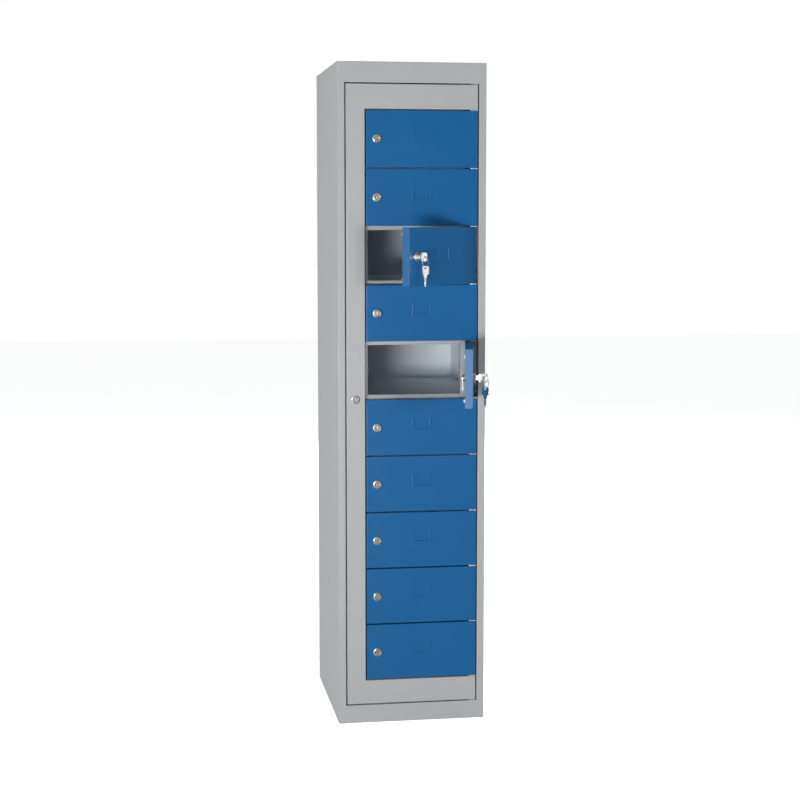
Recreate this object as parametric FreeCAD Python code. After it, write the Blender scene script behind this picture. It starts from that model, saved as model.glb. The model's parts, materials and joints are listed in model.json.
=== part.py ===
import FreeCAD, Part
import math
import os

# Distribution locker cabinet in folded sheet steel, in millimetres. A service door fills the front
# and carries ten small doors, one for each compartment. The origin is the middle of the footprint
# on the floor, +X to the right, +Y to the back and +Z up. Small doors are numbered from the top.

# Carcass
cabinet_width = 405.0
cabinet_depth = 500.0
cabinet_height = 1800.0
carcass_sheet = 1.0
bend_radius = 1.0
post_face = 20.0
post_return = 25.0
rear_flange = 15.0
roof_fascia = 55.0
plinth_height = 50.0
header_depth = 45.0
header_lip = 12.0

# Service door: a C-shaped front frame, a set-back hinge stile and a crossbar behind each gap
main_door_gap = 3.0
main_door_sheet = 1.0
main_door_swing = 90.0
stile_face = 51.0
rail_face = 66.0
stile_lip = 10.0
stop_lip = 10.0
crossbar_height = 20.0
crossbar_depth = 14.0
crossbar_sheet = 0.8
hinge_stile_width = 40.0
hinge_stile_depth = 18.0

# Small doors
door_count = 10
small_door_gap = 3.0
small_door_depth = 22.0
small_door_sheet = 0.8
small_door_lip = 10.0
stop_gap = 3.5
open_angles = {3: 44.0, 5: 79.0}

# Pivots: a plate in the gap carries an upright pin
pivot_pin_radius = 2.5
pivot_pin_reach = 7.0
pivot_hole_clearance = 0.1
small_pivot_inset = 15.5
small_pivot_depth = 5.0
small_pivot_plate = 2.0
main_pivot_inset = 4.5
main_pivot_depth = 5.0
main_pivot_plate = 2.0
pivot_plate_edge = 4.0
swing_clearance = 1.1
shelf_clearance = 2.0

# Label holder: two side ribs and a bottom rib, lanced and pressed out of the door sheet
label_width = 54.0
label_height = 31.5
label_rib_width = 6.0
label_rib_rise = 1.8
label_rib_round = 1.2
label_above_centre = 7.0
label_slit = 0.9

# Cylinder locks
lock_inset = 29.5
bezel_radius = 12.0
bezel_height = 5.0
bezel_chamfer = 2.5
lock_body_radius = 9.5
lock_body_length = 24.0
plug_radius = 8.0
plug_clearance = 0.1
plug_recess = 0.4
keyway_width = 2.6
keyway_height = 7.0
keyway_depth = 26.0
lock_nut_across = 24.0
lock_nut_height = 4.0
cam_reach = 38.0
cam_width = 15.0
cam_thickness = 2.0
cam_clearance = 0.5
cam_screw_across = 10.0
cam_screw_height = 2.5

# Buffers on the free edge of a small door
buffer_radius = 4.5
buffer_tip_radius = 3.6
buffer_rise = 3.2
buffer_from_end = 19.0

# Rod lock of the service door
main_lock_inset = 24.0
crank_radius = 13.0
crank_pin_radius = 2.5
crank_disc_radius = 17.5
crank_disc_thickness = 2.0
crank_turn = 90.0
rod_width = 10.0
rod_thickness = 4.0
rod_offset = 11.0
rod_layer_gap = 0.5
rod_head_width = 14.0
rod_head_height = 14.0
rod_slot_clearance = 0.45
rod_tip_gap = 5.0
rod_hole_clearance = 1.2
rod_point = 3.0
guide_height = 16.0
guide_sheet = 1.5
guide_clearance = 0.3

# Keys
key_thickness = 2.2
key_bow_width = 23.0
key_bow_length = 22.5
key_bow_corner = 5.0
key_neck_width = 10.5
key_neck_length = 7.5
key_blade_width = 5.6
key_blade_length = 24.0
key_hole_radius = 2.9
key_hole_edge = 5.5
ring_radius = 12.5
ring_wire = 1.6
ring_wire_chamfer = 0.4
ring_slack = 0.15
ring_turns = {3: 0.0, 5: -45.0}

# Collar between pieces that only seat on each other
fit_gap = 1.0

# Places that follow from the sizes
left = -cabinet_width / 2
right = cabinet_width / 2
front = -cabinet_depth / 2
rear = cabinet_depth / 2
wall_left = left + carcass_sheet
wall_right = right - carcass_sheet
header_rear = front + header_depth
header_bottom = cabinet_height - roof_fascia
back_panel_front = rear - 2 * carcass_sheet

door_left = left + post_face + main_door_gap
door_right = right - post_face - main_door_gap
door_bottom = plinth_height + main_door_gap
door_top = header_bottom - main_door_gap
stile_right = door_left + stile_face
field_bottom = door_bottom + rail_face
field_top = door_top - rail_face
stop_front = front + small_door_depth + stop_gap
stop_rear = stop_front + main_door_sheet
main_pivot_x = door_right - main_pivot_inset
main_pivot_y = front + main_pivot_depth

door_pitch = (field_top - field_bottom - small_door_gap) / door_count
small_door_height = door_pitch - small_door_gap
small_left = stile_right + small_door_gap
small_pivot_x = door_right - small_pivot_inset
small_pivot_y = front + small_pivot_depth
small_rear = front + small_door_depth
lock_x = small_left + lock_inset

small_sweep = math.hypot(small_pivot_inset, small_rear - small_pivot_y)
hinge_stile_left = door_right - hinge_stile_width
hinge_stile_front = small_pivot_y + small_sweep + swing_clearance
hinge_stile_rear = hinge_stile_front + hinge_stile_depth
main_sweep = math.hypot(main_pivot_inset, hinge_stile_rear - main_pivot_y)
shelf_front = main_pivot_y + main_sweep + shelf_clearance

cam_front = stop_rear + cam_clearance
cam_rear = cam_front + cam_thickness
main_lock_x = door_left + main_lock_inset
main_lock_z = (door_bottom + door_top) / 2
disc_rear = cam_front + crank_disc_thickness
rod_front = disc_rear + rod_layer_gap
rod_rear = rod_front + rod_thickness
crank_half_turn = math.radians(crank_turn / 2)
rod_travel = 2 * crank_radius * math.sin(crank_half_turn)

UP = FreeCAD.Vector(0, 0, 1)
BACK = FreeCAD.Vector(0, 1, 0)


def box(x_range, y_range, z_range):
    """An upright block between the given pairs of coordinates."""
    size = [max(pair) - min(pair) for pair in (x_range, y_range, z_range)]
    corner = FreeCAD.Vector(min(x_range), min(y_range), min(z_range))
    return Part.makeBox(size[0], size[1], size[2], corner)


def upright_pin(radius, x, y, z_range):
    """A round pin along Z."""
    start = FreeCAD.Vector(x, y, min(z_range))
    return Part.makeCylinder(radius, abs(z_range[1] - z_range[0]), start, UP)


def cross_pin(radius, y_range, x, z):
    """A round bar along Y."""
    start = FreeCAD.Vector(x, y_range[0], z)
    return Part.makeCylinder(radius, y_range[1] - y_range[0], start, BACK)


def hexagon(across_flats, y_range, x, z):
    """A hexagonal bar along Y, with a corner at the top."""
    corner_radius = across_flats / math.sqrt(3)
    corners = []
    for step in range(7):
        angle = math.radians(60 * step + 90)
        x_corner = x + corner_radius * math.cos(angle)
        corners.append(FreeCAD.Vector(x_corner, y_range[0], z + corner_radius * math.sin(angle)))
    face = Part.Face(Part.makePolygon(corners))
    return face.extrude(BACK * (y_range[1] - y_range[0]))


def join(solids):
    """One solid out of pieces that are welded or formed together."""
    whole = solids[0].fuse(solids[1:])
    return whole.removeSplitter()


def edges_in_plane(solid, axis, place):
    """The solid's edges that lie in the plane where the axis (x, y or z) has the given value."""
    near = 1e-4
    found = []
    for edge in solid.Edges:
        bounds = edge.BoundBox
        low = getattr(bounds, axis.upper() + "Min")
        high = getattr(bounds, axis.upper() + "Max")
        if abs(low - place) < near and abs(high - place) < near:
            found.append(edge)
    return found


def round_front(solid, radius):
    """Rounds all the edges of the face that looks forward."""
    return solid.makeFillet(radius, edges_in_plane(solid, "y", solid.BoundBox.YMin))


# Folded strips

def moved_right(path, distance):
    """An open path of points in the XY plane, moved to its own right with mitred corners."""
    moved = []
    for index, point in enumerate(path):
        arriving = point - path[index - 1] if index else path[1] - path[0]
        leaving = path[index + 1] - point if index + 1 < len(path) else arriving
        arriving_side = arriving.normalize().cross(UP)
        leaving_side = FreeCAD.Vector(leaving).normalize().cross(UP)
        middle = arriving_side + leaving_side
        moved.append(point + middle * (2 * distance / middle.dot(middle)))
    return moved


def rounded_path(points, radius):
    """Edges through the points, with an arc at each inner corner."""
    edges = []
    start = points[0]
    for before, corner, after in zip(points, points[1:], points[2:]):
        arriving = (corner - before).normalize()
        leaving = (after - corner).normalize()
        half_turn = arriving.getAngle(leaving) / 2
        setback = radius * math.tan(half_turn)
        inward = (leaving - arriving).normalize()
        crown = corner + inward * (radius / math.cos(half_turn) - radius)
        arc_start = corner - arriving * setback
        arc_end = corner + leaving * setback
        edges.append(Part.LineSegment(start, arc_start).toShape())
        edges.append(Part.Arc(arc_start, crown, arc_end).toShape())
        start = arc_end
    edges.append(Part.LineSegment(start, points[-1]).toShape())
    return edges


def folded_strip(path, sheet, length):
    """A strip folded along path, whose outer face the path is, with its metal to the right.

    The path lies in the XY plane, turns only to the right, and the strip runs up from it.
    """
    outer = [FreeCAD.Vector(x, y, 0) for x, y in path]
    inner = moved_right(outer, sheet)
    edges = rounded_path(outer, bend_radius + sheet)
    edges.append(Part.LineSegment(outer[-1], inner[-1]).toShape())
    edges.extend(rounded_path(inner[::-1], bend_radius))
    edges.append(Part.LineSegment(inner[0], outer[0]).toShape())
    return Part.Face(Part.Wire(Part.__sortEdges__(edges))).extrude(UP * length)


def along_x(solid, x_start):
    """Lays down a strip that was drawn with Y and Z for its path, so that it runs along X."""
    solid.rotate(FreeCAD.Vector(), FreeCAD.Vector(1, 1, 1), 120)
    solid.translate(FreeCAD.Vector(x_start, 0, 0))
    return solid


# Carcass

def side_panel(side):
    """A side wall with its front post, the post's return and a rear flange (side is -1 or 1)."""
    post_inner = right - post_face
    path = [(rear_flange - right, rear), (-right, rear), (-right, front), (-post_inner, front),
            (-post_inner, front + post_return)]
    path.reverse()
    wall = folded_strip(path, carcass_sheet, cabinet_height)
    bend = carcass_sheet + bend_radius
    x_range = (-post_inner - bend, -post_inner)
    for z_range in ((0, plinth_height), (header_bottom, cabinet_height)):
        wall = wall.cut(box(x_range, (front, front + post_return), z_range))
        wall = wall.fuse(box(x_range, (front, front + carcass_sheet), z_range))
    wall = wall.removeSplitter()
    if side > 0:
        wall = wall.mirror(FreeCAD.Vector(), FreeCAD.Vector(1, 0, 0))
    return wall


def end_pan(path):
    """The roof or the bottom, folded along a path of (y, z) points, notched round the posts."""
    pan = along_x(folded_strip(path, carcass_sheet, wall_right - wall_left), wall_left)
    post_inner = right - post_face
    post_bend = wall_right - bend_radius
    z_range = (0, cabinet_height)
    for side in (-1, 1):
        outer = side * right
        pan = pan.cut(box((outer, side * post_inner), (front, front + carcass_sheet), z_range))
        bend_y = (front, front + carcass_sheet + bend_radius)
        pan = pan.cut(box((outer, side * post_bend), bend_y, z_range))
    return pan


def rod_opening(x):
    """The hole that a lock rod enters, as a cutter through the header or the sill."""
    x_range = (x - rod_width / 2 - rod_hole_clearance, x + rod_width / 2 + rod_hole_clearance)
    y_range = (rod_front - rod_hole_clearance, rod_rear + rod_hole_clearance)
    return box(x_range, y_range, (plinth_height - bend_radius - carcass_sheet,
                                  header_bottom + bend_radius + carcass_sheet))


def roof_panel():
    path = [(header_rear, header_bottom + header_lip), (header_rear, header_bottom),
            (front, header_bottom), (front, cabinet_height),
            (back_panel_front, cabinet_height), (back_panel_front, cabinet_height - rear_flange)]
    return end_pan(path).cut(rod_opening(main_lock_x - rod_offset))


def bottom_panel():
    path = [(back_panel_front, rear_flange), (back_panel_front, 0), (front, 0),
            (front, plinth_height), (header_rear, plinth_height),
            (header_rear, plinth_height - header_lip)]
    return end_pan(path).cut(rod_opening(main_lock_x + rod_offset))


def back_panel():
    x_range = (wall_left + fit_gap, wall_right - fit_gap)
    return box(x_range, (back_panel_front, rear - carcass_sheet), (0, cabinet_height))


def gap_middle(number):
    """Height of the middle of the gap below small door number, or above the first for 0."""
    return field_top - small_door_gap / 2 - number * door_pitch


def shelf(number):
    """The tray under compartment number, level with the top of its crossbar."""
    top = gap_middle(number) + crossbar_height / 2
    x_range = (wall_left, wall_right)
    y_range = (shelf_front, back_panel_front)
    outer = box(x_range, y_range, (top - crossbar_height, top))
    inner = box((x_range[0] + crossbar_sheet, x_range[1] - crossbar_sheet),
                (y_range[0] + crossbar_sheet, y_range[1] - crossbar_sheet),
                (top - crossbar_height, top - crossbar_sheet))
    nose = [edge for edge in edges_in_plane(outer, "z", top)
            if abs(edge.BoundBox.YMax - shelf_front) < bend_radius]
    outer = outer.makeFillet(bend_radius + crossbar_sheet, nose)
    return outer.cut(inner)


def main_door_pivots():
    """Plates welded to the header and the sill, with the pins that the service door turns on."""
    x_range = (small_pivot_x - pivot_plate_edge, door_right)
    y_range = (main_pivot_y - pivot_plate_edge, front + post_return)
    pieces = []
    for seat, towards_door in ((header_bottom, -1), (plinth_height, 1)):
        plate_end = seat + towards_door * main_pivot_plate
        pin_end = seat + towards_door * (main_door_gap + pivot_pin_reach)
        plate = box(x_range, y_range, (seat, plate_end))
        pin = upright_pin(pivot_pin_radius, main_pivot_x, main_pivot_y, (plate_end, pin_end))
        pieces.append(join([plate, pin]))
    return Part.makeCompound(pieces)


# Service door

def pivot_hole(x, y, z_range):
    return upright_pin(pivot_pin_radius + pivot_hole_clearance, x, y, z_range)


def c_block(grow, y_range):
    """A solid C: the service door's outline with its field of small doors cut out to the right."""
    outer = box((door_left + grow, door_right - grow), y_range,
                (door_bottom + grow, door_top - grow))
    field = box((stile_right - grow, door_right), y_range, (field_bottom - grow, field_top + grow))
    return outer.cut(field)


def main_door_frame():
    rear_plane = stop_rear
    solid = round_front(c_block(0, (front, rear_plane)), bend_radius + main_door_sheet)
    hollow_front = front + main_door_sheet
    hollow = round_front(c_block(main_door_sheet, (hollow_front, rear_plane)), bend_radius)
    frame = solid.cut(hollow)
    lip_y = (stop_front, stop_rear)
    inner_edge = stile_right - main_door_sheet
    lips = [box((door_left, door_left + stile_lip), lip_y, (door_bottom, door_top)),
            box((inner_edge, stile_right + stop_lip), lip_y, (field_bottom, field_top)),
            box((inner_edge, hinge_stile_left), lip_y,
                (field_top - stop_lip, field_top + main_door_sheet)),
            box((inner_edge, hinge_stile_left), lip_y,
                (field_bottom - main_door_sheet, field_bottom + stop_lip))]
    frame = join([frame] + lips)
    frame = frame.cut(pivot_hole(main_pivot_x, main_pivot_y, (door_bottom, door_top)))
    lock_hole = cross_pin(lock_body_radius, (front, hollow_front), main_lock_x, main_lock_z)
    return frame.cut(lock_hole)


def hinge_stile():
    """A channel set back to clear the small doors' edges, with ears that reach the two rails."""
    path = [(door_right, hinge_stile_rear), (door_right, hinge_stile_front),
            (hinge_stile_left, hinge_stile_front), (hinge_stile_left, hinge_stile_rear)]
    stile = folded_strip(path, main_door_sheet, door_top - door_bottom)
    stile.translate(UP * door_bottom)
    ear_y = (stop_rear, hinge_stile_front + bend_radius + main_door_sheet)
    ears = []
    for x_start in (hinge_stile_left, door_right - main_door_sheet):
        for z_range in ((door_bottom, field_bottom), (field_top, door_top)):
            ears.append(box((x_start, x_start + main_door_sheet), ear_y, z_range))
    return join([stile] + ears)


def main_door_crossbars():
    """Channels behind the gaps, lapped on the stop lip and butted on the hinge stile."""
    bars = []
    x_start = stile_right + fit_gap
    for number in range(1, door_count):
        middle = gap_middle(number)
        low = middle - crossbar_height / 2
        high = middle + crossbar_height / 2
        bar_rear = stop_rear + crossbar_depth
        path = [(bar_rear, low), (stop_rear, low), (stop_rear, high), (bar_rear, high)]
        strip = folded_strip(path, crossbar_sheet, hinge_stile_left - x_start)
        bars.append(along_x(strip, x_start))
    return Part.makeCompound(bars)


def small_door_pivots():
    """Zinc plates in the gaps, welded to the hinge stile, each with its upright pin."""
    pieces = []
    for number in range(door_count + 1):
        middle = gap_middle(number)
        half_plate = small_pivot_plate / 2
        x_range = (small_pivot_x - pivot_plate_edge, door_right)
        y_range = (small_pivot_y - pivot_plate_edge, hinge_stile_front)
        plate = box(x_range, y_range, (middle - half_plate, middle + half_plate))
        nose = [edge for edge in plate.Edges if edge.BoundBox.XMax < x_range[0] + half_plate
                and edge.BoundBox.YMax < y_range[0] + half_plate]
        plate = plate.makeFillet(pivot_plate_edge - half_plate, nose)
        reach = small_door_gap / 2 + pivot_pin_reach
        pin_top = middle + reach if number > 0 else middle
        pin_bottom = middle - reach if number < door_count else middle
        pin = upright_pin(pivot_pin_radius, small_pivot_x, small_pivot_y, (pin_bottom, pin_top))
        pieces.append(join([plate, pin]))
    return Part.makeCompound(pieces)


# Locks

def lock_case(x, z, sheet):
    """A lock's housing, seated on the door's face and drawn up by a nut behind the sheet."""
    face = front - bezel_height
    bezel = cross_pin(bezel_radius, (face, front), x, z)
    bezel = bezel.makeChamfer(bezel_chamfer, edges_in_plane(bezel, "y", face))
    body = cross_pin(lock_body_radius, (front, front + lock_body_length), x, z)
    bore = cross_pin(plug_radius + plug_clearance, (face, front + lock_body_length), x, z)
    housing = join([bezel, body]).cut(bore)
    nut_front = front + sheet
    nut_y = (nut_front, nut_front + lock_nut_height)
    nut = hexagon(lock_nut_across, nut_y, x, z).cut(cross_pin(lock_body_radius, nut_y, x, z))
    return Part.makeCompound([housing, nut])


def lock_barrel(x, z):
    """The turning plug, with its upright keyway, as long as the gap to what it carries behind."""
    face = front - bezel_height + plug_recess
    plug = cross_pin(plug_radius, (face, cam_front), x, z)
    keyway = box((x - keyway_width / 2, x + keyway_width / 2), (face, face + keyway_depth),
                 (z - keyway_height / 2, z + keyway_height / 2))
    return plug.cut(keyway)


def cam_screw(x, z):
    return hexagon(cam_screw_across, (cam_rear, cam_rear + cam_screw_height), x, z)


def lock_plug(x, z):
    """Plug, cam and cam screw of a small door's lock. The cam hangs down when unlocked."""
    half = cam_width / 2
    cam = box((x - half, x + half), (cam_front, cam_rear), (z - cam_reach, z))
    cam = cam.fuse(cross_pin(half, (cam_front, cam_rear), x, z)).removeSplitter()
    toe = [edge for edge in cam.Edges if edge.BoundBox.ZMax < z - cam_reach + half
           and edge.BoundBox.YLength > cam_thickness / 2]
    cam = cam.makeChamfer(half / 2, toe)
    return Part.makeCompound([lock_barrel(x, z), cam, cam_screw(x, z)])


def main_lock_plug():
    """Plug and crank disc: its two pins drive the rods of the three-point lock."""
    disc = cross_pin(crank_disc_radius, (cam_front, disc_rear), main_lock_x, main_lock_z)
    pieces = [disc]
    for side in (-1, 1):
        x = main_lock_x + side * crank_radius * math.cos(crank_half_turn)
        z = main_lock_z + side * crank_radius * math.sin(crank_half_turn)
        pieces.append(cross_pin(crank_pin_radius, (disc_rear, rod_rear), x, z))
    crank = join(pieces)
    return Part.makeCompound([lock_barrel(main_lock_x, main_lock_z), crank])


def lock_rod(side):
    """A flat rod with a cross slot for its crank pin (side -1 is the upper rod, 1 the lower)."""
    towards = -side
    x = main_lock_x + side * rod_offset
    head_z = main_lock_z - towards * crank_radius * math.sin(crank_half_turn)
    if towards > 0:
        tip = header_bottom - rod_tip_gap
    else:
        tip = plinth_height + rod_tip_gap
    y_range = (rod_front, rod_rear)
    bar = box((x - rod_width / 2, x + rod_width / 2), y_range, (head_z, tip))
    tip_edges = [edge for edge in edges_in_plane(bar, "z", tip)
                 if edge.BoundBox.XLength < rod_width / 2]
    bar = bar.makeChamfer(rod_point, tip_edges)
    head = box((x - rod_head_width / 2, x + rod_head_width / 2), y_range,
               (head_z - rod_head_height / 2, head_z + rod_head_height / 2))
    near = main_lock_x + side * crank_radius * math.cos(crank_half_turn)
    far = main_lock_x + side * crank_radius
    half_slot = crank_pin_radius + rod_slot_clearance
    slot = box((near, far), y_range, (head_z - half_slot, head_z + half_slot))
    ends = [cross_pin(half_slot, y_range, end, head_z) for end in (near, far)]
    return join([bar, head]).cut(join([slot] + ends))


def rod_guides():
    """Staples on backing plates, across the lips of the lock stile."""
    guides = []
    plate_y = (stop_rear, stop_rear + guide_sheet)
    bridge_rear = rod_rear + guide_clearance + guide_sheet
    quarter = door_pitch / 4
    upper = [gap_middle(1) + quarter, gap_middle(3) - quarter]
    lower = [gap_middle(door_count - 3) + quarter, gap_middle(door_count - 1) - quarter]
    for side, heights in ((-1, upper), (1, lower)):
        x = main_lock_x + side * rod_offset
        half_inner = rod_width / 2 + guide_clearance
        half_outer = half_inner + guide_sheet
        for z in heights:
            z_range = (z - guide_height / 2, z + guide_height / 2)
            plate = box((door_left + stile_lip / 2, stile_right + stop_lip / 2), plate_y, z_range)
            bridge = box((x - half_outer, x + half_outer), (plate_y[1], bridge_rear), z_range)
            tunnel = box((x - half_inner, x + half_inner),
                         (plate_y[1], rod_rear + guide_clearance), z_range)
            guides.append(join([plate, bridge.cut(tunnel)]))
    return Part.makeCompound(guides)


# Small doors, drawn shut and then turned to where they stand

def door_middle(number):
    return (gap_middle(number - 1) + gap_middle(number)) / 2


def label_holder(middle):
    """The rounded ribs and the hollows behind them, open by a slit along their inner edges."""
    x = (small_left + door_right) / 2
    z = middle + label_above_centre
    half_width = label_width / 2
    half_height = label_height / 2
    rise = (front - label_rib_rise, front)
    hollow_y = (front - label_rib_rise + small_door_sheet, front + small_door_sheet)
    wall = small_door_sheet
    ribs = []
    hollows = []
    bottom_end = half_width - label_rib_width
    plans = [((-half_width, -half_width + label_rib_width), (-half_height, half_height), (0.5, 0)),
             ((half_width - label_rib_width, half_width), (-half_height, half_height), (-0.5, 0)),
             ((-bottom_end + fit_gap, bottom_end - fit_gap),
              (-half_height, -half_height + label_rib_width), (0, 0.5))]
    for x_pair, z_pair, towards_label in plans:
        x_range = (x + x_pair[0], x + x_pair[1])
        z_range = (z + z_pair[0], z + z_pair[1])
        rib = box(x_range, rise, z_range)
        ribs.append(round_front(rib, label_rib_round))
        hollow = box((x_range[0] + wall, x_range[1] - wall), hollow_y,
                     (z_range[0] + wall, z_range[1] - wall))
        slit = box((x_range[0] + wall, x_range[1] - wall), (front - label_slit, front),
                   (z_range[0] + wall, z_range[1] - wall))
        slit.translate(FreeCAD.Vector(towards_label[0], 0, towards_label[1]) * (2 * wall))
        hollows.append(hollow.fuse(slit))
    return ribs, hollows


def door_panel(number):
    middle = door_middle(number)
    half_height = small_door_height / 2
    z_range = (middle - half_height, middle + half_height)
    x_range = (small_left, door_right)
    y_range = (front, small_rear)
    sheet = small_door_sheet
    outer = round_front(box(x_range, y_range, z_range), bend_radius + sheet)
    inner = box((x_range[0] + sheet, x_range[1] - sheet), (front + sheet, small_rear),
                (z_range[0] + sheet, z_range[1] - sheet))
    pan = outer.cut(round_front(inner, bend_radius))
    lip_y = (small_rear - sheet, small_rear)
    ribs, hollows = label_holder(middle)
    lips = [box((small_left, small_left + small_door_lip), lip_y, z_range),
            box((door_right - small_door_lip, door_right), lip_y, z_range)]
    pan = join([pan] + lips + ribs)
    for hollow in hollows:
        pan = pan.cut(hollow)
    pan = pan.cut(pivot_hole(small_pivot_x, small_pivot_y, z_range))
    return pan.cut(cross_pin(lock_body_radius, (front, front + sheet), lock_x, middle))


def buffers(number):
    """Two tapered buffers on the free edge's lip, which meet the stop when the door shuts."""
    reach = small_door_height / 2 - buffer_from_end
    x = small_left + small_door_lip / 2
    pieces = []
    for offset in (-reach, reach):
        seat = FreeCAD.Vector(x, small_rear, door_middle(number) + offset)
        pieces.append(Part.makeCone(buffer_radius, buffer_tip_radius, buffer_rise, seat, BACK))
    return Part.makeCompound(pieces)


def key_blank(x, y_shoulder, z):
    """A key in the YZ plane: bow and neck forward of the shoulder, blade behind it."""
    half = key_thickness / 2
    x_range = (x - half, x + half)
    bow_rear = y_shoulder - key_neck_length
    bow_front = bow_rear - key_bow_length
    bow = box(x_range, (bow_front, bow_rear), (z - key_bow_width / 2, z + key_bow_width / 2))
    corners = [edge for edge in bow.Edges if edge.BoundBox.XLength > half]
    bow = bow.makeFillet(key_bow_corner, corners)
    neck = box(x_range, (bow_rear, y_shoulder), (z - key_neck_width / 2, z + key_neck_width / 2))
    blade = box(x_range, (y_shoulder, y_shoulder + key_blade_length),
                (z - key_blade_width / 2, z + key_blade_width / 2))
    point = [edge for edge in blade.Edges if edge.BoundBox.XLength > half
             and edge.BoundBox.YMin > y_shoulder + key_blade_length - half]
    blade = blade.makeChamfer(key_blade_width / 2 - half / 2, point)
    hole_start = FreeCAD.Vector(x - half, bow_front + key_hole_edge, z)
    hole = Part.makeCylinder(key_hole_radius, key_thickness, hole_start, FreeCAD.Vector(1, 0, 0))
    return join([bow, neck, blade]).cut(hole)


def key_in_lock(number):
    shoulder = front - bezel_height - fit_gap
    return key_blank(lock_x, shoulder, door_middle(number))


def ring_drop(turn):
    """How far the ring's wire sinks in a key's hole that it passes at an angle of turn."""
    half = ring_wire / 2
    reach = key_thickness / 2 * math.tan(turn) + half / math.cos(turn)
    return math.sqrt((key_hole_radius - ring_slack) ** 2 - reach ** 2) - half


def hanging_ring(number):
    """The ring of flat wire through the key's bow, and the spare key that hangs from it."""
    turn = ring_turns[number]
    shoulder = front - bezel_height - fit_gap
    hole_y = shoulder - key_neck_length - key_bow_length + key_hole_edge
    half = ring_wire / 2
    drop = ring_drop(abs(math.radians(turn)))
    ring_z = door_middle(number) - drop - ring_radius
    y_range = (hole_y - half, hole_y + half)
    ring = cross_pin(ring_radius + half, y_range, lock_x, ring_z)
    ring = ring.cut(cross_pin(ring_radius - half, y_range, lock_x, ring_z))
    rims = edges_in_plane(ring, "y", y_range[0]) + edges_in_plane(ring, "y", y_range[1])
    ring = ring.makeChamfer(ring_wire_chamfer, rims)
    spare = key_blank(lock_x, shoulder, door_middle(number))
    hole_centre = FreeCAD.Vector(lock_x, hole_y, door_middle(number))
    spare.rotate(hole_centre, FreeCAD.Vector(1, 0, 0), -90)
    spare.translate(UP * (-drop - ring_drop(0) - 2 * ring_radius))
    hanging = Part.makeCompound([ring, spare])
    hanging.rotate(hole_centre, UP, turn)
    return hanging


def stand_open(shape, number):
    """Turns what a small door carries about its pivot, to the angle where it stands."""
    pivot = FreeCAD.Vector(small_pivot_x, small_pivot_y, 0)
    shape.rotate(pivot, UP, open_angles.get(number, 0))
    return shape


def build_nodes():
    nodes = {
        "side_panel_left": side_panel(-1),
        "side_panel_right": side_panel(1),
        "back_panel": back_panel(),
        "roof_panel": roof_panel(),
        "bottom_panel": bottom_panel(),
        "shelves": Part.makeCompound([shelf(number + 1) for number in range(door_count)]),
        "main_door_pivots": main_door_pivots(),
        "main_door_frame": main_door_frame(),
        "hinge_stile": hinge_stile(),
        "main_door_crossbars": main_door_crossbars(),
        "small_door_pivots": small_door_pivots(),
        "main_lock_case": lock_case(main_lock_x, main_lock_z, main_door_sheet),
        "main_lock_plug": main_lock_plug(),
        "rod_guides": rod_guides(),
        "lock_rod_upper": lock_rod(-1),
        "lock_rod_lower": lock_rod(1),
    }
    for number in range(1, door_count + 1):
        middle = door_middle(number)
        nodes[f"door_panel_{number}"] = stand_open(door_panel(number), number)
        case = lock_case(lock_x, middle, small_door_sheet)
        nodes[f"lock_case_{number}"] = stand_open(case, number)
        nodes[f"lock_plug_{number}"] = stand_open(lock_plug(lock_x, middle), number)
        nodes[f"buffers_{number}"] = stand_open(buffers(number), number)
    for number in open_angles:
        nodes[f"key_{number}"] = stand_open(key_in_lock(number), number)
        nodes[f"key_ring_{number}"] = stand_open(hanging_ring(number), number)
    return nodes


os.makedirs("parts", exist_ok=True)
for name, shape in build_nodes().items():
    shape.exportStep(os.path.join("parts", name + ".step"))
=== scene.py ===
import bmesh
import bpy
import json
import math
from mathutils import Matrix, Vector


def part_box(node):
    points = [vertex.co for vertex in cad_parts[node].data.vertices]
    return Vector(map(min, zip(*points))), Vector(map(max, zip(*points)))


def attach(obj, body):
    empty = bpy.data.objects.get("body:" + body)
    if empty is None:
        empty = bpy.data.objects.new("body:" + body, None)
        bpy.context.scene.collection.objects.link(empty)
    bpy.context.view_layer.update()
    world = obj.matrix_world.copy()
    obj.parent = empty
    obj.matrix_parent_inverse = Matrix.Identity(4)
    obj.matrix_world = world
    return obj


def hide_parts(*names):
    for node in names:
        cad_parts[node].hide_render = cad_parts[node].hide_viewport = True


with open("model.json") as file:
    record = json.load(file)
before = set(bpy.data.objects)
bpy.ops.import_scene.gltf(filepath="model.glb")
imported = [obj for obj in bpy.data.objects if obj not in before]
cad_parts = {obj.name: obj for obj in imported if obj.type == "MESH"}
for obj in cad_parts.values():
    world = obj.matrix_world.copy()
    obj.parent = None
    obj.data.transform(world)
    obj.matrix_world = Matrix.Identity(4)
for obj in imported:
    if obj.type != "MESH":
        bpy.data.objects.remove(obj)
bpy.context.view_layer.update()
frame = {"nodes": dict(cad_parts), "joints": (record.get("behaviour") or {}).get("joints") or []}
nodes = frame["nodes"]
joints = {joint["name"]: joint for joint in frame["joints"]}


# Carcass and service door
# Folded from 1 mm sheet steel, spot-welded along the flanges and powder-coated light grey. Inside the
# compartments the coat is painted paler and cooler, as painted light for the brighter, bluish light
# there.
# Its film has a fine orange peel, and no sheet is quite flat.
grey_coat = (0.368, 0.377, 0.384)
grey_roughness = 0.40
grey_peel_size = 0.0011
grey_peel_depth = 0.000010
grey_waviness = 0.0004
sheet_wave_scale = 6.0
coat_cloud_scale = 18.0
coat_tone_spread = 0.025
coat_gloss_spread = 0.05
inner_painted_light_coat = (0.66, 0.71, 0.76)
inner_half_width = 0.2020
inner_back = 0.2485
inner_bottom = 0.0495
inner_top = 1.7995
compartment_front = -0.205
paint_border = 0.0003
front_border = 0.02


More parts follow.
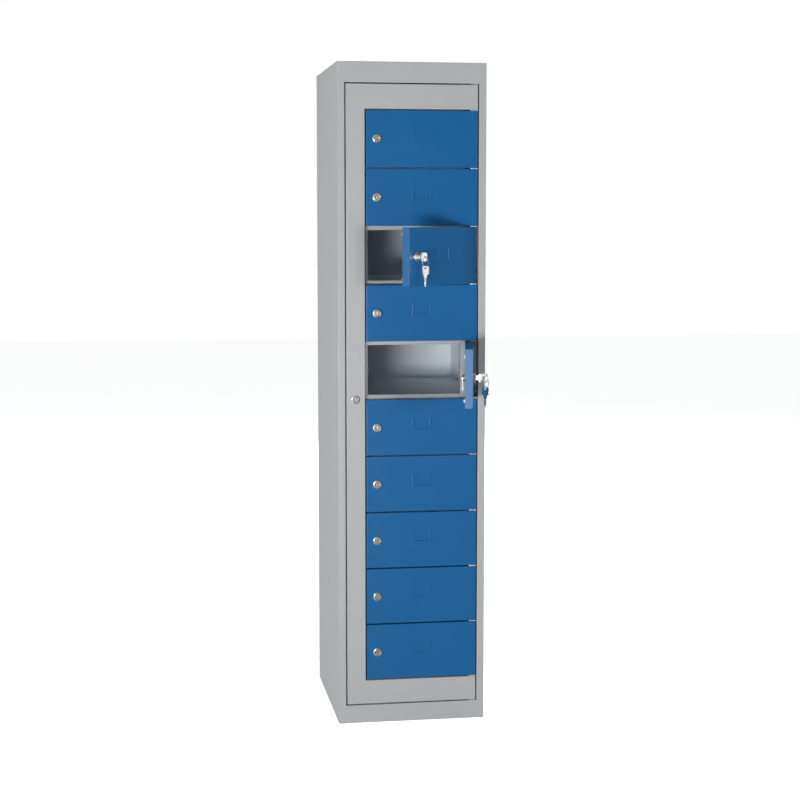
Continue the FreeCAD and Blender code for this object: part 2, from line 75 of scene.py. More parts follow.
def linked(tree, kind, settings=None, **inputs):
    """Adds a shader node. Each input takes a plain value or the socket that feeds it, and a name such
    as _2 stands for the third input, where the node has several of one name."""
    made = tree.nodes.new("ShaderNode" + kind)
    for name, value in (settings or {}).items():
        setattr(made, name, value)
    for name, value in inputs.items():
        by_number = name[1:].isdigit()
        socket = made.inputs[int(name[1:])] if by_number else made.inputs[name.replace("_", " ")]
        if isinstance(value, bpy.types.NodeSocket):
            tree.links.new(value, socket)
        else:
            socket.default_value = value
    return made


def maths(tree, operation, *values):
    """A math node's result. Its operands are numbers or sockets."""
    operands = {f"_{index}": value for index, value in enumerate(values)}
    return linked(tree, "Math", {"operation": operation}, **operands).outputs[0]


def ramp(tree, value, low, high, at_low=0.0, at_high=1.0):
    """The value's way from low to high, turned smoothly into at_low to at_high."""
    made = linked(tree, "MapRange", {"interpolation_type": "SMOOTHSTEP"}, Value=value, From_Min=low,
                  From_Max=high, To_Min=at_low, To_Max=at_high)
    return made.outputs[0]


def blended(tree, share, first, second):
    """A colour mixed from two, by share."""
    return linked(tree, "Mix", {"data_type": "RGBA"}, _0=share, _6=first, _7=second).outputs[2]


def shaded(colour, factor=1.0):
    """A colour as a socket takes it, made lighter or darker by factor."""
    return [channel * factor for channel in colour] + [1.0]


def new_finish(name):
    """An empty material, with its node tree and its Principled shader."""
    material = bpy.data.materials.new(name)
    material.use_nodes = True
    return material, material.node_tree, material.node_tree.nodes["Principled BSDF"]


def new_effect(name, inputs, outputs):
    """A node group with number inputs {name: default} and outputs of numbers."""
    group = bpy.data.node_groups.new(name, "ShaderNodeTree")
    for socket_name, default in inputs.items():
        socket = group.interface.new_socket(socket_name, in_out="INPUT", socket_type="NodeSocketFloat")
        socket.default_value = default
    for socket_name in outputs:
        group.interface.new_socket(socket_name, in_out="OUTPUT", socket_type="NodeSocketFloat")
    return group, group.nodes.new("NodeGroupInput"), group.nodes.new("NodeGroupOutput")


def with_effect(tree, group, **values):
    """Puts a node group into a tree and sets its inputs."""
    made = tree.nodes.new("ShaderNodeGroup")
    made.node_tree = group
    for name, value in values.items():
        made.inputs[name.replace("_", " ")].default_value = value
    return made


def finish_with(material, *names):
    """Gives the CAD nodes of these names the material, in every slot that they have."""
    for name in names:
        for slot in nodes[name].material_slots:
            slot.material = material


powder_film, given, result = new_effect(
    "powder_film", {"Peel Size": 0.001, "Peel Depth": 0.00001, "Waviness": 0.0005}, ["Height", "Tone"])
spot = linked(powder_film, "TexCoord").outputs["Object"]
peel_scale = maths(powder_film, "DIVIDE", 1.0, given.outputs["Peel Size"])
peel = linked(powder_film, "TexNoise", Vector=spot, Scale=peel_scale, Detail=1.5, Roughness=0.4)
sheet_wave = linked(powder_film, "TexNoise", Vector=spot, Scale=sheet_wave_scale, Detail=0.0)
peel_height = maths(powder_film, "MULTIPLY", peel.outputs["Fac"], given.outputs["Peel Depth"])
wave_height = maths(powder_film, "MULTIPLY", sheet_wave.outputs["Fac"], given.outputs["Waviness"])
powder_film.links.new(maths(powder_film, "ADD", peel_height, wave_height), result.inputs["Height"])
cloud = linked(powder_film, "TexNoise", Vector=spot, Scale=coat_cloud_scale, Detail=4.0, Roughness=0.6)
powder_film.links.new(cloud.outputs["Fac"], result.inputs["Tone"])


def powder_coat(name, colour, roughness, peel_size, peel_depth, waviness):
    """A powder coat: its film's relief, and a faint unevenness of colour and gloss."""
    material, tree, shader = new_finish(name)
    film = with_effect(tree, powder_film, Peel_Size=peel_size, Peel_Depth=peel_depth, Waviness=waviness)
    tone = film.outputs["Tone"]
    shade = blended(tree, tone, shaded(colour, 1 - coat_tone_spread),
                    shaded(colour, 1 + coat_tone_spread))
    gloss = linked(tree, "Mix", _0=tone, _2=roughness - coat_gloss_spread,
                   _3=roughness + coat_gloss_spread).outputs[0]
    relief = linked(tree, "Bump", Height=film.outputs["Height"], Distance=1.0, Strength=1.0)
    tree.links.new(shade, shader.inputs["Base Color"])
    tree.links.new(gloss, shader.inputs["Roughness"])
    tree.links.new(relief.outputs[0], shader.inputs["Normal"])
    return material, tree, shader


grey_powder_coat, tree, shader = powder_coat("grey_powder_coat", grey_coat, grey_roughness,
                                             grey_peel_size, grey_peel_depth, grey_waviness)
# Inside the compartments the colour turns to the paler, cooler inner coat: painted light for the
# brighter, bluish light there.
place = linked(tree, "SeparateXYZ", Vector=linked(tree, "TexCoord").outputs["Object"])
past_sides = maths(tree, "SUBTRACT", maths(tree, "ABSOLUTE", place.outputs["X"]), inner_half_width)
past_back = maths(tree, "SUBTRACT", place.outputs["Y"], inner_back)
past_top = maths(tree, "SUBTRACT", place.outputs["Z"], inner_top)
past_bottom = maths(tree, "SUBTRACT", inner_bottom, place.outputs["Z"])
past_walls = maths(tree, "MAXIMUM", maths(tree, "MAXIMUM", past_sides, past_back),
                   maths(tree, "MAXIMUM", past_top, past_bottom))
painted_light_inside = maths(tree, "MULTIPLY", ramp(tree, past_walls, -paint_border, paint_border, 1.0, 0.0),
               ramp(tree, place.outputs["Y"], compartment_front, compartment_front + front_border))
coat_shade = shader.inputs["Base Color"].links[0].from_socket
tree.links.new(blended(tree, painted_light_inside, coat_shade, shaded(inner_painted_light_coat)), shader.inputs["Base Color"])
finish_with(grey_powder_coat, "side_panel_left", "side_panel_right", "back_panel", "roof_panel",
            "bottom_panel", "main_door_pivots", "main_door_frame", "hinge_stile", "main_door_crossbars")

# Shelves
# A tray of 0.8 mm sheet under each compartment, in the paler, cooler coat of the inside, which is painted
# light for the brighter light in the compartments. What is pushed in and pulled out leaves fine
# lengthwise scuffs in it, which are smoother than the rest.
shelf_roughness = grey_roughness + 0.05
scuff_gloss = 0.12
scuff_width = 0.004
scuff_length = 0.12
scuff_lightness = 1.2
scuff_onset = (0.50, 0.70)
scuff_patch_scale = 9.0
scuff_patch_onset = (0.40, 0.62)
shelf_powder_coat, tree, shader = powder_coat("shelf_powder_coat", inner_painted_light_coat, shelf_roughness,
                                              grey_peel_size, grey_peel_depth, grey_waviness)
spot = linked(tree, "TexCoord").outputs["Object"]
stretch = linked(tree, "Mapping", Vector=spot, Scale=(1 / scuff_width, 1 / scuff_length, 1 / scuff_width))
streaks = linked(tree, "TexNoise", Vector=stretch.outputs[0], Scale=1.0, Detail=3.0, Roughness=0.65)
patches = linked(tree, "TexNoise", Vector=spot, Scale=scuff_patch_scale, Detail=1.0)
scuffs = maths(tree, "MULTIPLY", ramp(tree, streaks.outputs["Fac"], *scuff_onset),
               ramp(tree, patches.outputs["Fac"], *scuff_patch_onset))
coat_shade = shader.inputs["Base Color"].links[0].from_socket
coat_gloss = shader.inputs["Roughness"].links[0].from_socket
tree.links.new(blended(tree, scuffs, coat_shade, shaded(inner_painted_light_coat, scuff_lightness)),
               shader.inputs["Base Color"])
tree.links.new(maths(tree, "SUBTRACT", coat_gloss, maths(tree, "MULTIPLY", scuffs, scuff_gloss)),
               shader.inputs["Roughness"])
finish_with(shelf_powder_coat, "shelves")

# Small doors
# Ten pans folded from 0.8 mm sheet with returned lips and a lanced label holder, in a smoother and
# glossier powder coat of gentian blue.
blue_coat = (0.0050, 0.098, 0.265)
blue_roughness = 0.30
blue_peel_size = 0.0016
blue_peel_depth = 0.000008
blue_waviness = 0.0006
blue_powder_coat, _, _ = powder_coat("blue_powder_coat", blue_coat, blue_roughness, blue_peel_size,
                                     blue_peel_depth, blue_waviness)
for number in range(1, 11):
    finish_with(blue_powder_coat, f"door_panel_{number}")

# Buffers
# Small tapered buffers, moulded in white plastic with a faint matt grain and pressed into the doors'
# free edges. Those that are touched most have yellowed a little.
fresh_white = (0.80, 0.80, 0.79, 1.0)
aged_white = (0.74, 0.73, 0.69, 1.0)
plastic_grain_scale = 2200.0
plastic_grain_depth = 0.00002
ageing_scale = 160.0
plastic_roughness = 0.42
plastic_translucence = 0.15
plastic_light_reach = 0.002
white_plastic, tree, shader = new_finish("white_plastic")
spot = linked(tree, "TexCoord").outputs["Object"]
grain = linked(tree, "TexNoise", Vector=spot, Scale=plastic_grain_scale, Detail=1.0)
relief = linked(tree, "Bump", Height=grain.outputs["Fac"], Distance=plastic_grain_depth, Strength=0.6)
ageing = linked(tree, "TexNoise", Vector=spot, Scale=ageing_scale, Detail=2.0)
tree.links.new(blended(tree, ageing.outputs["Fac"], fresh_white, aged_white), shader.inputs["Base Color"])
tree.links.new(relief.outputs[0], shader.inputs["Normal"])
shader.inputs["Roughness"].default_value = plastic_roughness
shader.inputs["Subsurface Weight"].default_value = plastic_translucence
shader.inputs["Subsurface Scale"].default_value = plastic_light_reach
for number in range(1, 11):
    finish_with(white_plastic, f"buffers_{number}")

# Pivots, rods and guides
# Bright zinc-plated steel: small mottled crystals, and the fine grind marks of the strip that the
# pieces were cut from, which run upright as the rods do.
zinc = (0.86, 0.87, 0.88)
zinc_roughness = (0.46, 0.60)
crystal_size = 0.0025
dark_crystal = 0.90
bright_crystal = 1.08
grind_scale = (6000.0, 6000.0, 120.0)
grind_depth = 0.000012
bright_zinc, tree, shader = new_finish("bright_zinc")
spot = linked(tree, "TexCoord").outputs["Object"]
crystals = linked(tree, "TexVoronoi", Vector=spot, Scale=1 / crystal_size)
mottle = linked(tree, "SeparateColor", Color=crystals.outputs["Color"]).outputs[0]
grind = linked(tree, "Mapping", Vector=spot, Scale=grind_scale)
marks = linked(tree, "TexNoise", Vector=grind.outputs[0], Scale=1.0, Detail=2.0)
relief = linked(tree, "Bump", Height=marks.outputs["Fac"], Distance=grind_depth, Strength=1.0)
tree.links.new(blended(tree, mottle, shaded(zinc, dark_crystal), shaded(zinc, bright_crystal)),
               shader.inputs["Base Color"])
tree.links.new(ramp(tree, mottle, 0.0, 1.0, *zinc_roughness), shader.inputs["Roughness"])
tree.links.new(relief.outputs[0], shader.inputs["Normal"])
shader.inputs["Metallic"].default_value = 1.0
finish_with(bright_zinc, "small_door_pivots", "rod_guides", "lock_rod_upper", "lock_rod_lower")

# Lock plugs, cams and crank
# Nickel-plated, with a satin face that is brushed level, and dull and dark where a key has rubbed it.
nickel_colour = (0.79, 0.775, 0.75)
rubbed_shade = 0.38
satin_shade = 0.60
plug_roughness = (0.40, 0.52)
rubbing_scale = 350.0
brushing_scale = (400.0, 400.0, 9000.0)
brushing_depth = 0.00002
noise_span = (0.3, 0.7)
plug_nickel, tree, shader = new_finish("plug_nickel")
spot = linked(tree, "TexCoord").outputs["Object"]
brushing = linked(tree, "Mapping", Vector=spot, Scale=brushing_scale)
marks = linked(tree, "TexNoise", Vector=brushing.outputs[0], Scale=1.0, Detail=2.0)
relief = linked(tree, "Bump", Height=marks.outputs["Fac"], Distance=brushing_depth, Strength=1.0)
rubbing = linked(tree, "TexNoise", Vector=spot, Scale=rubbing_scale, Detail=3.0, Roughness=0.6)
tree.links.new(blended(tree, rubbing.outputs["Fac"], shaded(nickel_colour, rubbed_shade),
                       shaded(nickel_colour, satin_shade)), shader.inputs["Base Color"])
tree.links.new(ramp(tree, rubbing.outputs["Fac"], *noise_span, *plug_roughness),
               shader.inputs["Roughness"])
tree.links.new(relief.outputs[0], shader.inputs["Normal"])
shader.inputs["Metallic"].default_value = 1.0
finish_with(plug_nickel, "main_lock_plug")
for number in range(1, 11):
    finish_with(plug_nickel, f"lock_plug_{number}")

# Lock housings
# Die-cast, then turned: a domed bezel on the door's face and a threaded body through it, drawn up
# against the sheet by a hexagonal nut. Nickel-plated all over, with the marks of the turning.
bezel_radius = 0.012
bezel_height = 0.005
bezel_crown = 0.0028
bore_radius = 0.0081
rim_round = 0.0005
body_radius = 0.0095
body_length = 0.024
thread_pitch = 0.001
thread_start = 0.0012
thread_depth = 0.0002
nut_across = 0.024
nut_height = 0.004
nut_chamfer = 0.0012
service_door_sheet = 0.001
small_door_sheet = 0.0008
housing_steps = 64
sharp_angle = 35
nickel_roughness = (0.22, 0.34)
stained_shade = 0.92
clean_shade = 1.06
stain_scale = 420.0
turning_scale = 9000.0
turning_depth = 0.000004

nickel, tree, shader = new_finish("nickel")
spot = linked(tree, "TexCoord").outputs["Object"]
run = linked(tree, "Attribute", {"attribute_name": "run"}).outputs["Fac"]
threaded = linked(tree, "Attribute", {"attribute_name": "threaded"}).outputs["Fac"]
turning = linked(tree, "TexNoise", {"noise_dimensions": "1D"}, W=run, Scale=turning_scale,
                 Detail=2.0)
ridge = maths(tree, "SINE", maths(tree, "MULTIPLY", run, 2 * math.pi / thread_pitch))
stain = linked(tree, "TexNoise", Vector=spot, Scale=stain_scale, Detail=3.0, Roughness=0.6)
height = maths(tree, "ADD", maths(tree, "MULTIPLY", turning.outputs["Fac"], turning_depth),
               maths(tree, "MULTIPLY", maths(tree, "MULTIPLY", threaded, ridge), thread_depth))
relief = linked(tree, "Bump", Height=height, Distance=1.0, Strength=1.0)
tree.links.new(blended(tree, stain.outputs["Fac"], shaded(nickel_colour, stained_shade),
                       shaded(nickel_colour, clean_shade)), shader.inputs["Base Color"])
tree.links.new(ramp(tree, stain.outputs["Fac"], *noise_span, *nickel_roughness),
               shader.inputs["Roughness"])
tree.links.new(relief.outputs[0], shader.inputs["Normal"])
shader.inputs["Metallic"].default_value = 1.0


def place_of(joint_name):
    """The frame of a joint on a door: X across the door, Y into it and Z up."""
    joint = joints[joint_name]
    inward = -Vector(joint["axis"])
    up = Vector((0, 0, 1))
    turned = Matrix((inward.cross(up), inward, up)).transposed().to_4x4()
    return Matrix.Translation(Vector(joint["pos_m"])) @ turned


def new_piece(name, mesh, material, body, replaced):
    """An object made of a bmesh, smooth but for its sharp edges, that stands for a CAD node."""
    bmesh.ops.recalc_face_normals(mesh, faces=mesh.faces)
    data = bpy.data.meshes.new(name)
    mesh.to_mesh(data)
    mesh.free()
    data.shade_smooth()
    data.set_sharp_from_angle(angle=math.radians(sharp_angle))
    data.materials.append(material)
    piece = bpy.data.objects.new(name, data)
    bpy.context.scene.collection.objects.link(piece)
    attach(piece, body)
    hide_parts(replaced)


def round_turned_edge(mesh, radius, y, size, segments):
    """Rounds the edge that runs round the Y axis at this radius and y."""
    edges = [edge for edge in mesh.edges
             if all(abs(math.hypot(point.co.x, point.co.z) - radius) < 1e-5 for point in edge.verts)
             and all(abs(point.co.y - y) < 1e-5 for point in edge.verts)]
    bmesh.ops.bevel(mesh, geom=edges, offset=size, segments=segments, profile=0.5, affect="EDGES",
                    material=-1)


def lock_housing(sheet):
    """Housing and nut about the Y axis, with the door's face at y = 0."""
    mesh = bmesh.new()
    profile = [(bore_radius, -bezel_height), (bezel_radius, -bezel_height), (bezel_radius, 0),
               (body_radius, 0), (body_radius, body_length), (bore_radius, body_length)]
    corners = [mesh.verts.new((radius, y, 0)) for radius, y in profile]
    sides = [mesh.edges.new(pair) for pair in zip(corners, corners[1:] + corners[:1])]
    bmesh.ops.spin(mesh, geom=corners + sides, cent=(0, 0, 0), axis=(0, 1, 0), angle=2 * math.pi,
                   steps=housing_steps, use_merge=True)
    round_turned_edge(mesh, bezel_radius, -bezel_height, bezel_crown, 7)
    round_turned_edge(mesh, bore_radius, -bezel_height, rim_round, 3)
    round_turned_edge(mesh, body_radius, body_length, rim_round, 3)
    seat = Matrix.Translation((0, sheet + nut_height / 2, 0)) @ Matrix.Rotation(math.pi / 2, 4, "X")
    corner_up = seat @ Matrix.Rotation(math.pi / 6, 4, "Z")
    nut = bmesh.ops.create_cone(mesh, cap_ends=True, segments=6, radius1=nut_across / math.sqrt(3),
                                radius2=nut_across / math.sqrt(3), depth=nut_height, matrix=corner_up)
    far_edges = {edge for point in nut["verts"] for edge in point.link_edges
                 if all(end.co.y > sheet + nut_height / 2 for end in edge.verts)}
    bmesh.ops.bevel(mesh, geom=list(far_edges), offset=nut_chamfer, segments=1, profile=0.5,
                    affect="EDGES", material=-1)
    run_layer = mesh.verts.layers.float.new("run")
    thread_layer = mesh.verts.layers.float.new("threaded")
    for point in mesh.verts:
        radius = math.hypot(point.co.x, point.co.z)
        point[run_layer] = radius + point.co.y
        on_body = point.co.y > thread_start and abs(radius - body_radius) < rim_round / 2
        point[thread_layer] = float(on_body)
    return mesh


housed = {"main_lock": ("main_lock_turn", "main_door", service_door_sheet)}
for number in range(1, 11):
    housed[f"lock_{number}"] = (f"lock_{number}_turn", f"door_{number}", small_door_sheet)
for lock, (joint_name, body, sheet) in housed.items():
    mesh = lock_housing(sheet)
    mesh.transform(place_of(joint_name))
    case = "main_lock_case" if lock == "main_lock" else lock.replace("lock_", "lock_case_")
    new_piece(lock + "_housing", mesh, nickel, body, case)

# Keys
# Stamped steel keys, nickel-plated: a square bow with a hole and a pressed field, a neck, a shoulder,
# and a grooved blade with its cuts. One stands in each open lock, and its spare hangs below it.
key_thickness = 0.0022
bow_width = 0.023
bow_length = 0.0225
bow_corner = 0.005
neck_width = 0.0105
neck_length = 0.0075
blade_width = 0.0056
blade_length = 0.024
blade_tip = 0.0012
hole_radius = 0.0029
hole_from_end = 0.0055
lock_fit = 0.001
cut_depths = (0.0011, 0.0017, 0.0006, 0.0014, 0.0009)
cut_half_width = 0.0009
key_edge_round = 0.0003
groove_width = 0.0010
groove_offset = 0.0007
groove_depth = 0.0004
groove_run_out = 0.001
groove_painted_shade = 0.45
field_inset = 0.0028
field_depth = 0.00015
field_border = 0.0002
key_colour = (0.86, 0.855, 0.84)
key_roughness = (0.16, 0.26)
handling_scale = 600.0
handling_depth = 0.000006

key_steel, tree, shader = new_finish("key_steel")
spot = linked(tree, "TexCoord").outputs["Object"]
along = linked(tree, "Attribute", {"attribute_name": "along"}).outputs["Fac"]
across = linked(tree, "Attribute", {"attribute_name": "across"}).outputs["Fac"]
off_groove = maths(tree, "ABSOLUTE", maths(tree, "SUBTRACT", across, groove_offset))
groove = maths(tree, "MULTIPLY", ramp(tree, off_groove, groove_width / 2, groove_width / 4),
               ramp(tree, along, -neck_length, -neck_length - groove_run_out))
past_middle = maths(tree, "ABSOLUTE", maths(tree, "SUBTRACT", along, bow_length / 2))
past_ends = maths(tree, "SUBTRACT", past_middle, bow_length / 2 - field_inset)
past_sides = maths(tree, "SUBTRACT", maths(tree, "ABSOLUTE", across), bow_width / 2 - field_inset)
field = ramp(tree, maths(tree, "MAXIMUM", past_ends, past_sides), -field_border, field_border, 1.0, 0.0)
handling = linked(tree, "TexNoise", Vector=spot, Scale=handling_scale, Detail=3.0, Roughness=0.6)
sunk = maths(tree, "ADD", maths(tree, "MULTIPLY", groove, groove_depth),
             maths(tree, "MULTIPLY", field, field_depth))
height = maths(tree, "SUBTRACT", maths(tree, "MULTIPLY", handling.outputs["Fac"], handling_depth), sunk)
relief = linked(tree, "Bump", Height=height, Distance=1.0, Strength=1.0)
# The groove along the blade is painted darker, as painted shade in the recess.
tree.links.new(blended(tree, groove, shaded(key_colour), shaded(key_colour, groove_painted_shade)),
               shader.inputs["Base Color"])
tree.links.new(ramp(tree, handling.outputs["Fac"], *noise_span, *key_roughness),
               shader.inputs["Roughness"])
tree.links.new(relief.outputs[0], shader.inputs["Normal"])
shader.inputs["Metallic"].default_value = 1.0


def stamped_key():
    """A key along the X axis: its bow from x = 0 forwards, its neck and blade behind."""
    mesh = bmesh.new()
    bow, neck, blade = bow_width / 2, neck_width / 2, blade_width / 2
    tip = -neck_length - blade_length
    outline = [(bow_length, -bow), (bow_length, bow), (0, bow), (0, neck), (-neck_length, neck),
               (-neck_length, blade), (tip + blade, blade), (tip, blade_tip / 2), (tip, -blade_tip / 2),
               (tip + blade, -blade)]
    spacing = (blade_length - 1.5 * blade) / len(cut_depths)
    for index, depth in enumerate(cut_depths):
        middle = tip + blade + spacing * (index + 0.5)
        outline += [(middle - cut_half_width, -blade), (middle - cut_half_width / 3, depth - blade),
                    (middle + cut_half_width / 3, depth - blade), (middle + cut_half_width, -blade)]
    outline += [(-neck_length, -blade), (-neck_length, -neck), (0, -neck), (0, -bow)]
    corners = [mesh.verts.new((x, y, -key_thickness / 2)) for x, y in outline]
    mesh.faces.new(corners)
    bow_corners = [corner for corner in corners if abs(abs(corner.co.y) - bow) < 1e-6]
    bmesh.ops.bevel(mesh, geom=bow_corners, offset=bow_corner, segments=6, profile=0.5,
                    affect="VERTICES", material=-1)
    bmesh.ops.delete(mesh, geom=mesh.faces[:], context="FACES_ONLY")
    hole_place = Matrix.Translation((bow_length - hole_from_end, 0, -key_thickness / 2))
    bmesh.ops.create_circle(mesh, radius=hole_radius, segments=28, matrix=hole_place)
    bmesh.ops.triangle_fill(mesh, edges=mesh.edges[:], use_beauty=True)
    raised = bmesh.ops.extrude_face_region(mesh, geom=mesh.faces[:], use_keep_orig=True)
    lifted = [item for item in raised["geom"] if isinstance(item, bmesh.types.BMVert)]
    bmesh.ops.translate(mesh, verts=lifted, vec=(0, 0, key_thickness))
    rims = [edge for edge in mesh.edges
            if edge.calc_face_angle(0) > 1.2 and abs(edge.verts[0].co.z - edge.verts[1].co.z) < 1e-6]
    bmesh.ops.bevel(mesh, geom=rims, offset=key_edge_round, segments=3, profile=0.5, affect="EDGES",
                    material=-1, clamp_overlap=True)
    along_layer = mesh.verts.layers.float.new("along")
    across_layer = mesh.verts.layers.float.new("across")
    for point in mesh.verts:
        point[along_layer] = point.co.x
        point[across_layer] = point.co.y
    return mesh


ring_turns = {3: 0.0, 5: -45.0}
bow_up = Matrix.Rotation(-math.pi / 2, 4, "Y")
bow_forward = Matrix.Rotation(math.pi / 2, 4, "X") @ bow_up
for number, turn in ring_turns.items():
    stands_out = bezel_height + lock_fit + neck_length
    mesh = stamped_key()
    lock_place = place_of(f"lock_{number}_turn")
    mesh.transform(lock_place @ Matrix.Translation((0, -stands_out, 0)) @ bow_forward)
    new_piece(f"lock_key_{number}", mesh, key_steel, f"key_{number}", f"key_{number}")

    hole = joints[f"ring_{number}_swing"]["pos_m"]
    bow_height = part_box(f"key_ring_{number}")[0].z + blade_length + neck_length
    hanging = lock_place.to_3x3().to_4x4() @ Matrix.Rotation(math.radians(turn), 4, "Z")
    mesh = stamped_key()
    mesh.transform(Matrix.Translation((hole[0], hole[1], bow_height)) @ hanging @ bow_up)
    new_piece(f"spare_key_{number}", mesh, key_steel, f"ring_{number}",
              f"key_ring_{number}")

# Split rings
# Flat steel wire wound in two turns that lie on each other, with a step where one turn crosses to the
# other, nickel-plated. Each hangs in the bow of the key in the lock.
ring_radius = 0.0125
ring_wire = 0.0016
ring_edge_round = 0.0003
level_turn = 0.75
crossing_turn = 0.25
steps_per_turn = 96
ring_roughness = (0.18, 0.30)
worn_shade = 0.90
bright_shade = 1.05
wear_scale = 700.0
wear_depth = 0.00001

ring_steel, tree, shader = new_finish("ring_steel")
spot = linked(tree, "TexCoord").outputs["Object"]
wear = linked(tree, "TexNoise", Vector=spot, Scale=wear_scale, Detail=3.0, Roughness=0.6)
relief = linked(tree, "Bump", Height=wear.outputs["Fac"], Distance=wear_depth, Strength=1.0)
tree.links.new(blended(tree, wear.outputs["Fac"], shaded(key_colour, worn_shade),
                       shaded(key_colour, bright_shade)), shader.inputs["Base Color"])
tree.links.new(ramp(tree, wear.outputs["Fac"], *noise_span, *ring_roughness), shader.inputs["Roughness"])
tree.links.new(relief.outputs[0], shader.inputs["Normal"])
shader.inputs["Metallic"].default_value = 1.0


def split_ring():
    """Two turns about the Y axis, with the step between them on the right."""
    mesh = bmesh.new()
    size = Matrix.Diagonal((ring_wire / 2, ring_wire / 4, 1, 1))
    first = Matrix.Translation((ring_radius, -ring_wire / 4, 0))
    bmesh.ops.create_grid(mesh, x_segments=1, y_segments=1, size=1, matrix=first @ size)
    bmesh.ops.bevel(mesh, geom=mesh.verts[:], offset=ring_edge_round, segments=2, profile=0.5,
                    affect="VERTICES", material=-1)
    end = mesh.verts[:] + mesh.edges[:] + mesh.faces[:]
    for turns, climb in ((level_turn, 0), (crossing_turn, ring_wire / 2), (level_turn, 0)):
        steps = round(turns * steps_per_turn)
        spun = bmesh.ops.spin(mesh, geom=end, cent=(0, 0, 0), axis=(0, 1, 0), dvec=(0, climb / steps, 0),
                              angle=turns * 2 * math.pi, steps=steps)
        end = spun["geom_last"]
    return mesh


for number, turn in ring_turns.items():
    hole = joints[f"ring_{number}_swing"]["pos_m"]
    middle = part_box(f"key_ring_{number}")[1].z - ring_wire / 2 - ring_radius
    lock_place = place_of(f"lock_{number}_turn")
    hanging = lock_place.to_3x3().to_4x4() @ Matrix.Rotation(math.radians(turn), 4, "Z")
    step_aside = Matrix.Rotation(math.pi / 4, 4, "Y")
    mesh = split_ring()
    mesh.transform(Matrix.Translation((hole[0], hole[1], middle)) @ hanging @ step_aside)
    new_piece(f"split_ring_{number}", mesh, ring_steel, f"ring_{number}",
              f"key_ring_{number}")

# Studio
# A plain pale floor and a white surround. The camera sees both white. Shiny faces see them white behind
# and to the left, and dark in front and to the right but for a lit screen, as in a darkened studio.
floor_size = 30.0
floor_colour = (0.8, 0.8, 0.8, 1)
floor_glow = 0.935
fill_level = 0.03
fill_tint = (0.88, 1.0, 1.14, 1.0)
front_level = 0.15
leftward_lean = 0.90
lit_screen = (-0.292, -0.953, -0.080)
screen_level = 1.6
screen_edge = (0.96, 0.995)
floor_edge = (-0.35, -0.05)
surround_edge = 0.8
lamp_aim = (0, -0.25, 1.0)
bpy.ops.mesh.primitive_plane_add(size=floor_size)
floor = bpy.context.object
floor.name = "studio_floor"
floor_paint, tree, shader = new_finish("studio_floor")
shader.inputs["Base Color"].default_value = floor_colour
shader.inputs["Roughness"].default_value = 1.0
shader.inputs["Specular IOR Level"].default_value = 0.0
path = linked(tree, "LightPath")
spot = linked(tree, "SeparateXYZ", Vector=linked(tree, "TexCoord").outputs["Object"])
glow = linked(tree, "Emission", Color=(1, 1, 1, 1), Strength=floor_glow)
lit = linked(tree, "AddShader", _0=shader.outputs[0], _1=glow.outputs[0])
sideways = maths(tree, "MULTIPLY", spot.outputs["X"], leftward_lean)
leftward = maths(tree, "SUBTRACT", spot.outputs["Y"], sideways)
mirrored = linked(tree, "Emission", Color=(1, 1, 1, 1),
                  Strength=ramp(tree, leftward, *floor_edge, front_level, 1.0))
unseen = linked(tree, "MixShader", _0=path.outputs["Is Glossy Ray"], _1=shader.outputs[0],
                _2=mirrored.outputs[0])
seen = linked(tree, "MixShader", _0=path.outputs["Is Camera Ray"], _1=unseen.outputs[0],
              _2=lit.outputs[0])
tree.links.new(seen.outputs[0], tree.nodes["Material Output"].inputs["Surface"])
floor.data.materials.append(floor_paint)

world = bpy.data.worlds.new("studio")
bpy.context.scene.world = world
world.use_nodes = True
tree = world.node_tree
background = tree.nodes["Background"]
path = linked(tree, "LightPath")
direction = linked(tree, "TexCoord").outputs["Generated"]
towards = linked(tree, "SeparateXYZ", Vector=direction)
sideways = maths(tree, "MULTIPLY", towards.outputs["X"], leftward_lean)
leftward = maths(tree, "SUBTRACT", towards.outputs["Y"], sideways)
surround = ramp(tree, leftward, -surround_edge, surround_edge, front_level, 1.0)
near_screen = linked(tree, "VectorMath", {"operation": "DOT_PRODUCT"}, _0=direction, _1=lit_screen)
screen = ramp(tree, near_screen.outputs["Value"], *screen_edge, 0.0, screen_level)
shine = maths(tree, "MAXIMUM", surround, screen)
shiny = maths(tree, "MAXIMUM", path.outputs["Is Glossy Ray"], path.outputs["Is Transmission Ray"])
unseen = linked(tree, "Mix", _0=shiny, _2=fill_level, _3=shine)
strength = linked(tree, "Mix", _0=path.outputs["Is Camera Ray"], _2=unseen.outputs[0], _3=1.0)
tree.links.new(strength.outputs[0], background.inputs["Strength"])
tree.links.new(blended(tree, path.outputs["Is Diffuse Ray"], (1, 1, 1, 1), fill_tint),
               background.inputs["Color"])


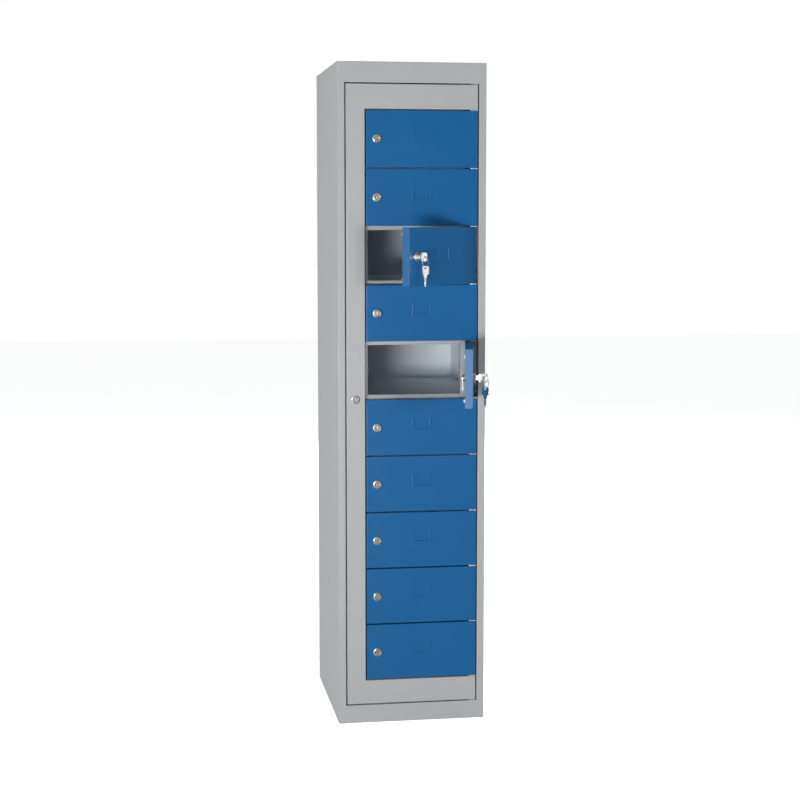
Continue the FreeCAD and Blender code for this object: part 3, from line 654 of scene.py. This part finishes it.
def studio_lamp(name, azimuth, elevation, distance, size, level, mirrored=True, colour=(1, 1, 1)):
    """A flat lamp around the cabinet, at azimuth 0 ahead of its front and 90 on its right. Its level
    is the brightness that it gives to a matt white sheet that faces it."""
    aim = Vector(lamp_aim)
    lamp = bpy.data.lights.new(name, "AREA")
    lamp.shape = "RECTANGLE"
    lamp.size, lamp.size_y = size
    lamp.color = colour
    lamp.energy = level * math.pi ** 2 * distance ** 2
    holder = bpy.data.objects.new(name, lamp)
    turn = math.radians(azimuth)
    rise = math.radians(elevation)
    offset = Vector((math.sin(turn) * math.cos(rise), -math.cos(turn) * math.cos(rise), math.sin(rise)))
    holder.location = aim + offset * distance
    holder.rotation_euler = offset.to_track_quat("Z", "Y").to_euler()
    holder.visible_glossy = mirrored
    bpy.context.scene.collection.objects.link(holder)


studio_lamp("key_lamp", azimuth=-24, elevation=-4, distance=4.0, size=(1.15, 0.38), level=0.72,
            colour=(1.0, 1.0, 0.99))
studio_lamp("right_lamp", azimuth=26, elevation=3, distance=6.0, size=(0.9, 0.9), level=0.31,
            mirrored=False)
studio_lamp("left_lamp", azimuth=-80, elevation=5, distance=6.0, size=(1.2, 1.2), level=0.19,
            mirrored=False)
studio_lamp("far_side_lamp", azimuth=110, elevation=12, distance=6.0, size=(1.5, 1.5), level=0.50,
            mirrored=False)
studio_lamp("back_lamp", azimuth=172, elevation=12, distance=6.0, size=(1.5, 1.5), level=0.50,
            mirrored=False)

# Camera
# At eye level in front and to the left, with a short telephoto lens, fitted to the photograph's
# cabinet edges and door gaps.
camera_place = (-0.754, -4.811, 1.380)
camera_tilt = 6.00
camera_heading = 8.98
film_width = 36
focal_length = 76.9
camera = bpy.data.objects.new("camera", bpy.data.cameras.new("camera"))
camera.location = camera_place
camera.rotation_euler = (math.radians(90 - camera_tilt), 0, math.radians(-camera_heading))
camera.data.sensor_width = film_width
camera.data.lens = focal_length
bpy.context.scene.collection.objects.link(camera)
bpy.context.scene.camera = camera
bpy.context.scene.view_settings.view_transform = "Standard"
